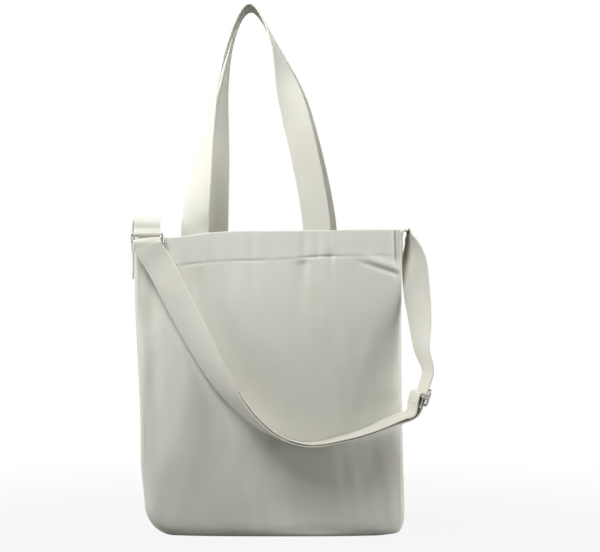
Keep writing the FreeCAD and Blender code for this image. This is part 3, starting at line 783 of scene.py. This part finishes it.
def hand_loop(name, side):
    """One hand loop, from one sewn end over the peak to the other."""
    low, high = box(name + "_handle")
    end_low, end_high = box(name + "_handle_left_end")
    width = end_high[0] - end_low[0]
    web = end_high[1] - end_low[1]
    foot_y = (end_low[1] + end_high[1]) / 2
    rise = high[2] - web / 2 - low[2]
    peak = np.array((PEAK[0], side * (width / 2 + 1 * MM), high[2] - web / 2 - 0.1 * MM))
    sewn_steps = 13
    legs = []
    for end, foot_x in zip((-1, 1), FEET[side]):
        foot = np.array((foot_x, foot_y, low[2]))
        lean_in, straight, shoulder_out, twist_from, twist_to = LEGS[side, end]
        shoulder = peak + np.array((end * shoulder_out, 0, 0))
        share = 1 - (1 - np.linspace(0, 1, 90)) ** 1.25
        lean = UP * rise * straight - np.array((end * lean_in, 0, 0))
        centre = bezier((foot, foot + lean, shoulder, peak), share)
        risen = (centre[:, 2] - low[2]) / rise
        turn = (risen - twist_from) / (twist_to - twist_from)
        angle = math.pi / 2 * ease(turn) * ease(risen / 0.08)
        across = np.stack((end * np.cos(angle), -side * np.sin(angle), 0 * angle), axis=-1)
        # The sewn end hangs inside the hem, under the foot.
        sewn_z = np.linspace(end_low[2], low[2], sewn_steps + 1)[:-1]
        sewn_x = np.full(sewn_steps, foot_x)
        wall = panel_points(sewn_x, sewn_z, side)[:, 1]
        sewn_y = wall - side * (HEM_OFFSET + web / 2 + 0.2 * MM)
        settle = ease((sewn_z - (HEIGHT - 10 * MM)) / (10 * MM))
        sewn_y = sewn_y * (1 - settle) + foot_y * settle
        sewn = np.stack((sewn_x, sewn_y, sewn_z), axis=-1)
        sewn_across = np.tile(np.array((end * 1.0, 0, 0)), (sewn_steps, 1))
        legs.append((np.concatenate((sewn, centre)), np.concatenate((sewn_across, across))))
    centres, acrosses = (np.concatenate((left[:-1], right[::-1])) for left, right in zip(*legs))
    alongs = unit(np.gradient(centres, axis=0))
    loop = sweep(name + "_handle", centres, alongs, acrosses, width, web, seed=31 + side, swell=0.3 * MM)
    dress(loop, STRAP_CANVAS)
    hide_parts(name + "_handle", name + "_handle_left_end", name + "_handle_right_end")
    rows = edge_rows(centres, alongs, acrosses, width, web)
    seams = stitches(name + "_handle_topstitching", rows, None, thick=TOPSTITCH)
    tack_rows = []
    for centre_x in FEET[side]:
        for xs, zs in crossed_box(width / 2 - TACK_MARGIN, end_low[2] + TACK_MARGIN, HEIGHT - 6 * MM):
            xs = xs + centre_x
            wall = panel_points(xs, zs, side)[:, 1]
            ys = wall - side * (HEM_OFFSET + web + 0.3 * MM)
            line = np.stack((xs, ys, zs), axis=-1)
            tack_rows.append((line, np.tile(np.array((0, -side * 1.0, 0)), (len(xs), 1))))
    stitches(name + "_handle_tacks", tack_rows, "bag", [name + "_handle_tacks"], thick=TACK_THREAD)
    end = (0, foot_y, HEIGHT + 25 * MM)
    for piece in (loop, seams):
        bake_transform(piece)
    return loop


# --- the crossbody strap ---

STRAP_LOW, STRAP_HIGH = box("strap_sewn_end")
STRAP_WIDTH = STRAP_HIGH[1] - STRAP_LOW[1]
STRAP_SETBACK = -(STRAP_HIGH[1] + STRAP_LOW[1]) / 2
WEB = 2 * MM             # thickness of the strap
LAYER_GAP = 5 * MM       # more room there for the inner layer, where the strap faces the front
STRAP_DROP = 278 * MM    # from the top edge to its lowest point
STRAP_STAND = 5 * MM     # room between the front panel and the strap
SLIDER_SLOPE = 18        # lean of the strap at the slider, degrees
SLIDER_TWIST = -18       # turn of its face there, degrees
BAR_WIRE = 3.2 * MM      # thickness of the slider's middle bar
RING_WIRE = 3 * MM       # thickness of the ring's wire
RING_PITCH = 11 * MM     # between the ring's two long bars
LOOP_TILT = 8            # degrees the strap's loop lies askew in the ring
LOOP_REACH = 4.4 * MM    # how far that loose loop reaches up from the lower bar
LEAVE = 14               # stations of the inner layer that belong to the strap's end fold
CLEARANCE = 0.3 * MM     # between cloth and the metal it runs on
TAB_WIDTH = 34 * MM      # width of the ring's tab
TAB_WEB = 1.8 * MM       # thickness of one of its layers
TAB_SEWN = 62 * MM       # its length below the top edge
SWING = [joint for joint in frame["joints"] if joint["name"] == "strap_swing"][0]
UPPER_BAR = np.array(SWING["pos_m"])
BAR_ALONG = -unit(np.array(SWING["axis"]))
LOWER_BAR = UPPER_BAR - UP * RING_PITCH


def turned(alongs, degrees):
    """Across direction of a band: 0 lies front to back, 90 faces the front."""
    alongs = unit(alongs)
    level = unit(BACKWARD - alongs * np.sum(BACKWARD * alongs, axis=-1, keepdims=True))
    side = np.cross(alongs, level)
    angle = np.radians(np.asarray(degrees, float))[..., None]
    return level * np.cos(angle) + side * np.sin(angle)


def strap_y(turn):
    """How far forward the strap's outer layer stands where its face is turned."""
    angle = np.radians(turn)
    room = STRAP_STAND + STRAP_WIDTH / 2 * np.abs(np.cos(angle))
    return -HALF_DEPTH - room - LAYER_GAP * np.abs(np.sin(angle))


def averaged(values):
    """Each value averaged with its four neighbours on either side."""
    reach = 4
    padded = np.concatenate((np.full(reach, values[0]), values, np.full(reach, values[-1])))
    return np.convolve(padded, np.ones(2 * reach + 1) / (2 * reach + 1), mode="valid")


def smooth_run(points, turns, first_along, last_along, spacing=3 * MM):
    """Stations along the smooth curve through points, clamped at both ends."""
    points = np.asarray(points, float)
    marks = distances(points)
    count = len(points)
    matrix = np.zeros((count, count))
    right = np.zeros((count, 3))
    matrix[0, 0] = matrix[-1, -1] = 1
    right[0] = unit(first_along)
    right[-1] = unit(last_along)
    gaps = np.diff(marks)
    for row in range(1, count - 1):
        before, after = gaps[row - 1], gaps[row]
        matrix[row, row - 1] = after
        matrix[row, row] = 2 * (before + after)
        matrix[row, row + 1] = before
        right[row] = 3 * (after * (points[row] - points[row - 1]) / before
                          + before * (points[row + 1] - points[row]) / after)
    slopes = np.linalg.solve(matrix, right)
    steps = int(marks[-1] / spacing)
    at = np.linspace(0, marks[-1], steps + 1)
    leg = np.clip(np.searchsorted(marks, at, side="right") - 1, 0, count - 2)
    gap = gaps[leg][:, None]
    s = ((at - marks[leg]) / gaps[leg])[:, None]
    p, q, v, w = points[leg], points[leg + 1], slopes[leg] * gap, slopes[leg + 1] * gap
    centre = (p * (2 * s ** 3 - 3 * s ** 2 + 1) + v * (s ** 3 - 2 * s ** 2 + s)
              + q * (3 * s ** 2 - 2 * s ** 3) + w * (s ** 3 - s ** 2))
    along = unit(np.gradient(centre, axis=0))
    along[0], along[-1] = unit(first_along), unit(last_along)
    turn = averaged(np.interp(at, marks, turns))
    return centre, along, turned(along, turn)


def slider_axes():
    """Middle of the slider, and the directions along, across and out of the strap."""
    slope = math.radians(SLIDER_SLOPE)
    middle = np.array((HALF_WIDTH + 24 * MM, strap_y(SLIDER_TWIST), HEIGHT - 212 * MM))
    along = np.array((-math.sin(slope), 0, -math.cos(slope)))
    across = turned(along, SLIDER_TWIST)
    return middle, along, across, np.cross(along, across)


def joined(*runs):
    """Runs of stations end to end, the shared station kept once."""
    parts = [runs[0]] + [tuple(array[1:] for array in run) for run in runs[1:]]
    return tuple(np.concatenate([part[index] for part in parts]) for index in range(3))


def route(first, steps, last, place):
    """Points and face turns from one end of a run to the other."""
    points = [first[0]] + [place(*step) for step in steps] + [last[0]]
    turns = [first[1]] + [step[2] for step in steps] + [last[1]]
    return points, turns


def right_runs(upper_end, along):
    """The end sewn flat on the right side, and the run from there down to the slider."""
    start = np.array((HALF_WIDTH + 8 * MM, -STRAP_SETBACK, HEIGHT + 2 * MM))
    over_edge = (1, 0, -0.1)
    side_x = HALF_WIDTH + WEB / 2
    sewn_steps = ((-1, -42), (-0.5, -22), (0, -3), (2.5, 1.9))
    sewn_points = [(side_x + beyond * MM, -STRAP_SETBACK, HEIGHT + above * MM)
                   for beyond, above in sewn_steps]
    sewn_points.append(tuple(start))
    sewn = smooth_run(sewn_points, [0] * len(sewn_points), (0, 0, 1), over_edge, 1.5 * MM)

    # How far out in mm, what share of the way down and forward, and the face's turn.
    down = ((1.6, 0.03, -6), (3.2, 0.075, -20), (6.3, 0.142, -44), (8.5, 0.21, -64), (10.5, 0.33, -75),
            (12.5, 0.46, -72), (16, 0.66, -48), (19, 0.84, -27))

    def place(reach, share, _):
        """A point of the run, by its share of the way."""
        y = start[1] + (upper_end[1] - start[1]) * share
        return start[0] + reach * MM, y, start[2] + (upper_end[2] - start[2]) * share

    upper = smooth_run(*route((start, 0), down, (upper_end, SLIDER_TWIST), place), over_edge, along)
    split = int(np.argmax(upper[0][:, 0] > HALF_WIDTH + 8.6 * MM))
    sewn = joined(sewn, tuple(array[:split + 1] for array in upper))
    return sewn, tuple(array[split:] for array in upper)


def front_run(lower_end, along, ring_end, up_strap):
    """The run from the slider across the front and up to the ring."""
    # What share of the way right and down, and the face's turn.
    front = ((0.94, 0.874, -15), (0.838, 0.93, -9), (0.715, 0.977, -4), (0.604, 1.0, 0),
             (0.487, 0.962, 6), (0.370, 0.849, 22), (0.279, 0.705, 45), (0.202, 0.535, 64),
             (0.128, 0.36, 80), (0.076, 0.23, 88), (0.034, 0.137, 90))

    def place(share, drop, face):
        """A point of the run, as far forward as the turn of its face needs."""
        x = ring_end[0] + (lower_end[0] - ring_end[0]) * share
        return x, strap_y(face), HEIGHT - STRAP_DROP * drop

    ends = ((lower_end, SLIDER_TWIST), (ring_end, 90))
    return smooth_run(*route(ends[0], front, ends[1], place), along, up_strap)


def inner_layer(lower, fold, strap_across):
    """The layer that runs back from the ring on the inside of the same path."""
    share = np.linspace(0, 1, len(lower[0]))
    close = WEB + 0.7 * MM
    gaps = close + (2 * fold - close) * share ** 4
    centre, heads, sides = lower
    inner_centre = centre - np.cross(heads, sides) * gaps[:, None]
    inner = (inner_centre[::-1], -heads[::-1], sides[::-1])
    inner[2][0] = strap_across
    return inner


def crossbody_strap():
    """The strap in its pieces, following the same route as the frame's."""
    middle, along, across, out = slider_axes()
    upper_end = middle - along * 25 * MM
    lower_end = middle + along * 18 * MM
    sewn, upper = right_runs(upper_end, along)
    straight = smooth_run((upper_end, middle, lower_end), (SLIDER_TWIST,) * 3, along, along)

    # The loop in the ring, askew and loose.
    facing = np.cross(BAR_ALONG, UP)
    fold = RING_WIRE / 2 + CLEARANCE + WEB / 2
    tilt = math.radians(LOOP_TILT)
    up_strap = UP * math.cos(tilt) - BAR_ALONG * math.sin(tilt)
    strap_across = -BAR_ALONG * math.cos(tilt) - UP * math.sin(tilt)
    loop_middle = LOWER_BAR + UP * 0.4 * MM
    lower = front_run(lower_end, along, loop_middle + facing * fold, up_strap)
    angles = np.linspace(0, math.pi, 15)
    forward, upward = facing * fold, up_strap * LOOP_REACH
    around = loop_middle + np.outer(np.cos(angles), forward) + np.outer(np.sin(angles), upward)
    heading = np.outer(np.cos(angles), upward) - np.outer(np.sin(angles), forward)
    turn_over = (around, heading, np.tile(strap_across, (len(angles), 1)))

    inner = inner_layer(lower, fold, strap_across)
    outer = joined(upper, straight, lower, turn_over, tuple(array[:-LEAVE] for array in inner))
    strap = sweep("crossbody_strap", *outer, STRAP_WIDTH, WEB, seed=41, swell=0.25 * MM)
    dress(strap, STRAP_CANVAS)
    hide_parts("crossbody_strap")
    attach(strap, "strap")
    stitches("strap_topstitching", edge_rows(*outer, STRAP_WIDTH, WEB), "strap", thick=TOPSTITCH)
    strap_sewn_end(sewn)
    bar_offset = WEB / 2 + 2 * CLEARANCE + BAR_WIRE / 2 + WEB
    strap_end_fold(inner, middle, middle - out * bar_offset, along, across, out)
    tack_on_side("strap_end_tack", HALF_WIDTH + WEB + 0.1 * MM, -STRAP_SETBACK, HEIGHT - 37 * MM,
                 HEIGHT - 10 * MM, STRAP_WIDTH / 2 - TACK_MARGIN)
    slider(middle, along, across, out, bar_offset)


def strap_sewn_end(sewn):
    """The strap's first end, blended from the bag to the strap at the open pivot."""
    end_piece = sweep("strap_sewn_end", *sewn, STRAP_WIDTH, WEB, seed=43, swell=0.1 * MM)
    dress(end_piece, STRAP_CANVAS)
    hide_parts("strap_sewn_end")
    end_seams = stitches("strap_end_topstitching", edge_rows(*sewn, STRAP_WIDTH, WEB), None, thick=TOPSTITCH)
    for piece in (end_piece, end_seams):
        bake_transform(piece)


def strap_end_fold(inner, middle, bar, along, across, out):
    """The second end: round the slider's middle bar and folded back on itself."""
    wrap = BAR_WIRE / 2 + CLEARANCE + WEB / 2
    tail, tail_along, tail_across = (array[-LEAVE - 1] for array in inner)
    inner_side = bar - out * wrap
    beside = [inner[0][index] for index in (-11, -8, -5)]
    approach = smooth_run((tail, *beside, inner_side + along * 9 * MM, inner_side),
                          (SLIDER_TWIST,) * 6, tail_along, -along, 2 * MM)
    blend_in = ease(np.linspace(0, 2, len(approach[0])))[:, None]
    approach_across = unit(tail_across * (1 - blend_in) + across * blend_in)
    angles = np.linspace(0, math.pi, 13)
    wrap_centre = bar + (-np.outer(np.cos(angles), out) - np.outer(np.sin(angles), along)) * wrap
    wrap_along = np.outer(np.sin(angles), out) - np.outer(np.cos(angles), along)
    wrap_run = (wrap_centre, wrap_along, np.tile(across, (len(angles), 1)))
    tail_marks = np.linspace(0, 16 * MM, 8)
    tail_centre = bar + out * wrap + np.outer(tail_marks, along) - out * (0.35 * MM)
    tail_run = (tail_centre, *(np.tile(way, (len(tail_marks), 1)) for way in (along, across)))
    fold_run = joined((*approach[:2], approach_across), wrap_run, tail_run)
    fold_piece = sweep("strap_end_fold", *fold_run, STRAP_WIDTH, WEB, seed=47, swell=0.05 * MM)
    dress(fold_piece, STRAP_CANVAS)
    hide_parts("strap_end_fold")
    fold_rows = edge_rows(*fold_run, STRAP_WIDTH, WEB)
    fold_seams = stitches("strap_fold_topstitching", fold_rows, None, thick=TOPSTITCH)
    for piece in (fold_piece, fold_seams):
        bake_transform(piece)
    tack_line = np.linspace(-13 * MM, 13 * MM, TACK_STEPS)
    rows = []
    for down in (9, 13):
        for face in (out, -out):
            line = bar + face * (wrap + WEB * 0.5) + along * down * MM + np.outer(tack_line, across)
            rows.append((line, np.tile(face, (TACK_STEPS, 1))))
    stitches("strap_fold_tack", rows, "slider", ["strap_fold_tack"], thick=TACK_THREAD)


def tack_on_side(name, x, y, low, high, half):
    """A box of stitches with a cross in it, on a side of the bag."""
    outward = np.tile(np.array((math.copysign(1.0, x), 0, 0)), (TACK_STEPS, 1))
    rows = [(np.stack((np.full(TACK_STEPS, x), ys + y, zs), axis=-1), outward)
            for ys, zs in crossed_box(half, low, high)]
    return stitches(name, rows, "bag", [name], thick=TACK_THREAD)


# --- the ring's tab ---

def ring_tab():
    """A doubled strip: up the left side, over the top edge, round the ring and back."""
    half = HALF_WIDTH
    y = -STRAP_SETBACK
    web = 2 * TAB_WEB
    bore = RING_WIRE / 2 + CLEARANCE
    wrap = bore + TAB_WEB / 2
    outside = -half - web / 2
    reach = UPPER_BAR[0] - outside
    forward = UPPER_BAR[1] - y
    steps = ((0.40, 0.12, 8, 22), (0.80, 0.45, 15, 50), (0.97, 0.78, 17, 74), (1.0, 0.96, 13.5, 84))
    points = [(outside, y, HEIGHT - below) for below in (TAB_SEWN, TAB_SEWN / 2, 4 * MM)]
    faces = [0, 0, 0]
    for right_share, front_share, rise, face in steps:
        points.append((outside + reach * right_share, y + forward * front_share, HEIGHT + rise * MM))
        faces.append(face)
    end = UPPER_BAR + UP * (bore + TAB_WEB + 0.6 * MM)
    points.append(tuple(end))
    faces.append(math.degrees(math.atan2(BAR_ALONG[0], BAR_ALONG[1])))
    centre, along, _ = smooth_run(points, faces, UP, (0, -0.05, -1), 2 * MM)
    marks = distances(centre)
    corner_marks = distances(np.array(points))
    corner_marks *= marks[-1] / corner_marks[-1]
    angle = averaged(np.radians(np.interp(marks, corner_marks, faces)))
    across = np.stack((np.sin(angle), np.cos(angle), 0 * angle), axis=-1)
    across = square_to(across, along)
    out = np.cross(along, across)
    offset = TAB_WEB / 2 + 0.05 * MM
    outer_run = (centre + out * offset, along, across)
    inner_centre = (centre - out * offset)[::-1]
    facing = np.cross(BAR_ALONG, UP)
    angles = np.linspace(math.radians(60), math.radians(-240), 26)
    wrap_centre = UPPER_BAR + np.outer(np.cos(angles), facing) * wrap
    wrap_centre = wrap_centre + np.outer(np.sin(angles) * np.where(np.sin(angles) < 0, 1.25, 1.0), UP) * wrap
    outer_run = tuple(array[:-2] for array in outer_run)
    centres = np.concatenate((outer_run[0], wrap_centre, inner_centre[2:]))
    acrosses = np.concatenate((outer_run[2], np.tile(BAR_ALONG, (len(angles), 1)), across[::-1][2:]))
    alongs = unit(np.gradient(centres, axis=0))
    tab = sweep("ring_tab", centres, alongs, acrosses, TAB_WIDTH, TAB_WEB, seed=53, swell=0.12 * MM)
    dress(tab, STRAP_CANVAS)
    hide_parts("ring_tab")
    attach(tab, "bag")
    rows = edge_rows(*outer_run, TAB_WIDTH, TAB_WEB, faces=(1,))
    stitches("ring_tab_topstitching", rows, "bag", thick=TOPSTITCH)
    tack_on_side("ring_tab_tack", -half - web - 0.1 * MM, y, HEIGHT - TAB_SEWN + TACK_MARGIN,
                 HEIGHT - TAB_SEWN + 29 * MM, TAB_WIDTH / 2 - TACK_MARGIN)


# --- metal ---

def rail(path, closed, wide, deep, frames):
    """Points and faces of a rounded metal rail along a path."""
    count = 12
    section = []
    for step in range(count):
        angle = 2 * math.pi * step / count
        power = 0.6
        cosine, sine = math.cos(angle), math.sin(angle)
        section.append((math.copysign(abs(cosine) ** power, cosine) * wide / 2,
                        math.copysign(abs(sine) ** power, sine) * deep / 2))
    points = []
    faces = []
    for centre, (first, second) in zip(path, frames):
        for across, out in section:
            points.append(centre + first * across + second * out)
    rings = len(path)
    last = rings if closed else rings - 1
    for ring in range(last):
        low = ring * count
        high = ((ring + 1) % rings) * count
        for step in range(count):
            following = (step + 1) % count
            faces.append((low + step, low + following, high + following, high + step))
    if not closed:
        faces.append(tuple(range(count))[::-1])
        faces.append(tuple(range((rings - 1) * count, rings * count)))
    return points, faces


def slider(middle, along, across, out, bar_offset):
    """The strap's slider: a rounded frame outside the strap and a bar inside it."""
    width = STRAP_WIDTH + 8 * MM
    length = 24 * MM
    rail_wide = 3.5 * MM
    plate = 3 * MM
    frame_out = WEB / 2 + CLEARANCE + plate / 2
    half_x = width / 2 - rail_wide / 2
    half_z = length / 2 - rail_wide / 2
    round_by = 3.2 * MM
    path = []
    frames = []
    for sx, sz, first in ((1, 1, 0), (-1, 1, 90), (-1, -1, 180), (1, -1, 270)):
        for step in range(9):
            angle = math.radians(first + 90 * step / 8)
            x = sx * (half_x - round_by) + round_by * math.cos(angle)
            z = sz * (half_z - round_by) + round_by * math.sin(angle)
            path.append(middle + across * x + along * z + out * frame_out)
            frames.append((across * math.cos(angle) + along * math.sin(angle), out))
    pieces = [rail(path, True, rail_wide, plate, frames)]
    for end in (-1, 1):
        lug = [middle + across * end * half_x + out * (frame_out - step) for step in
               np.linspace(0, frame_out + bar_offset + 1.0 * MM, 8)]
        pieces.append(rail(lug, False, rail_wide, 7 * MM, [(across, along)] * 8))
    bar = [middle - out * bar_offset + across * x for x in np.linspace(-half_x, half_x, 12)]
    pieces.append(rail(bar, False, BAR_WIRE, BAR_WIRE, [(out, along)] * 12))
    metal = make_mesh("strap_slider", *joined_meshes(pieces))
    add_modifier(metal, "SUBSURF", levels=1, render_levels=1)
    dress(metal, NICKEL)
    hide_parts("strap_slider")
    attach(metal, "slider")
    return metal


def ring():
    """The rectangular ring keeps its frame mesh and gets its metal."""
    thing = frame["nodes"]["rectangular_ring"]
    thing.data.materials.clear()
    thing.data.materials.append(NICKEL)


# --- floor, light and camera ---

def white_where_seen(tree, plain, output):
    """Show plain white to camera, glossy and transmission rays, and plain elsewhere."""
    path = tree.nodes.new("ShaderNodeLightPath")
    seen = path.outputs["Is Camera Ray"]
    for kind in ("Is Glossy Ray", "Is Transmission Ray"):
        either = tree.nodes.new("ShaderNodeMath")
        either.operation = "MAXIMUM"
        tree.links.new(seen, either.inputs[0])
        tree.links.new(path.outputs[kind], either.inputs[1])
        seen = either.outputs[0]
    share = tree.nodes.new("ShaderNodeMath")
    share.operation = "MULTIPLY"
    tree.links.new(seen, share.inputs[0])
    mix = tree.nodes.new("ShaderNodeMixShader")
    tree.links.new(share.outputs[0], mix.inputs[0])
    tree.links.new(plain, mix.inputs[1])
    tree.links.new(mix.outputs[0], output)
    return share.inputs[1], mix.inputs[2]


def floor():
    """A plain pale floor that keeps the object's shadow."""
    half = 20.0
    low = -0.4 * MM
    corners = [(-half, -half, low), (half, -half, low), (half, half, low), (-half, half, low)]
    ground = make_mesh("floor", corners, [(0, 1, 2, 3)], smooth=False)
    nodes = Nodes("pale_floor")
    nodes.shade_with(Base_Color=(0.20, 0.20, 0.196, 1), Roughness=0.9, Specular_IOR_Level=0.1)
    glow = nodes.add("ShaderNodeEmission", Color=(1, 1, 1, 1), Strength=1.0)
    output = nodes.tree.nodes["Material Output"].inputs["Surface"]
    share, bright = white_where_seen(nodes.tree, nodes.shader.outputs[0], output)
    place = nodes.add("ShaderNodeTexCoord")
    distance = nodes.add("ShaderNodeVectorMath", operation="LENGTH")
    nodes.link(place.outputs["Object"], distance.inputs[0])
    spread = nodes.add("ShaderNodeMapRange", interpolation_type="SMOOTHSTEP")
    for socket, value in zip(spread.inputs[1:5], (0.25, 1.1, 0.90, 1.0)):
        socket.default_value = value
    nodes.link(distance.outputs["Value"], spread.inputs[0])
    nodes.link(spread.outputs[0], share)
    nodes.link(glow.outputs[0], bright)
    ground.data.materials.append(nodes.material)


def world():
    """Soft light from all round, and a white background where it is seen."""
    sky = bpy.data.worlds.new("studio")
    bpy.context.scene.world = sky
    sky.use_nodes = True
    tree = sky.node_tree
    plain = tree.nodes["Background"]
    plain.inputs["Color"].default_value = (0.96, 0.98, 1.0, 1)
    plain.inputs["Strength"].default_value = 0.12
    white = tree.nodes.new("ShaderNodeBackground")
    white.inputs["Color"].default_value = (1, 1, 1, 1)
    white.inputs["Strength"].default_value = 1.0
    share, bright = white_where_seen(tree, plain.outputs[0], tree.nodes["World Output"].inputs["Surface"])
    share.default_value = 1.0
    tree.links.new(white.outputs[0], bright)


def aimed(name, data, place, ahead):
    """A lamp or camera that looks along a direction from its place."""
    thing = bpy.data.objects.new(name, data)
    bpy.context.scene.collection.objects.link(thing)
    thing.location = place
    thing.rotation_mode = "QUATERNION"
    thing.rotation_quaternion = ahead.to_track_quat("-Z", "Y")
    return thing


def lamp(name, place, target, size, power):
    """A soft square lamp aimed at a point."""
    data = bpy.data.lights.new(name, "AREA")
    data.shape = "SQUARE"
    data.size = size
    data.energy = power
    aimed(name, data, place, Vector(target) - Vector(place))


def lights():
    """A lamp above the front, one at each side, and one behind."""
    lamp("top_lamp", (-0.30, -0.58, 1.08), (-0.02, 0.0, 0.68), 0.45, 9.2)
    lamp("left_lamp", (-1.3, -0.22, 0.60), (0, 0, 0.34), 0.6, 9.3)
    lamp("right_lamp", (1.4, -0.26, 0.36), (0, 0, 0.30), 0.6, 13.0)
    lamp("back_lamp", (0.3, 1.3, 1.1), (0, 0, 0.40), 0.9, 13.0)


def camera():
    """Almost square to the front, at about mid height."""
    data = bpy.data.cameras.new("camera")
    distance = 2.4
    width_seen = 0.7845
    data.sensor_width = 36.0
    data.lens = data.sensor_width * distance / width_seen
    data.clip_start = 0.05
    aim = Vector((0.042, -HALF_DEPTH, 0.342))
    azimuth = math.radians(0.5)
    back = Vector((math.sin(azimuth), -math.cos(azimuth), 0.0))
    bpy.context.scene.camera = aimed("camera", data, aim + back * distance, -back)


bpy.context.scene.view_settings.view_transform = "Standard"
camera()
world()
lights()
floor()
bag_shell()
bag_stitches()
hand_loop("front", FRONT)
hand_loop("back", BACK)
crossbody_strap()
ring_tab()
ring()
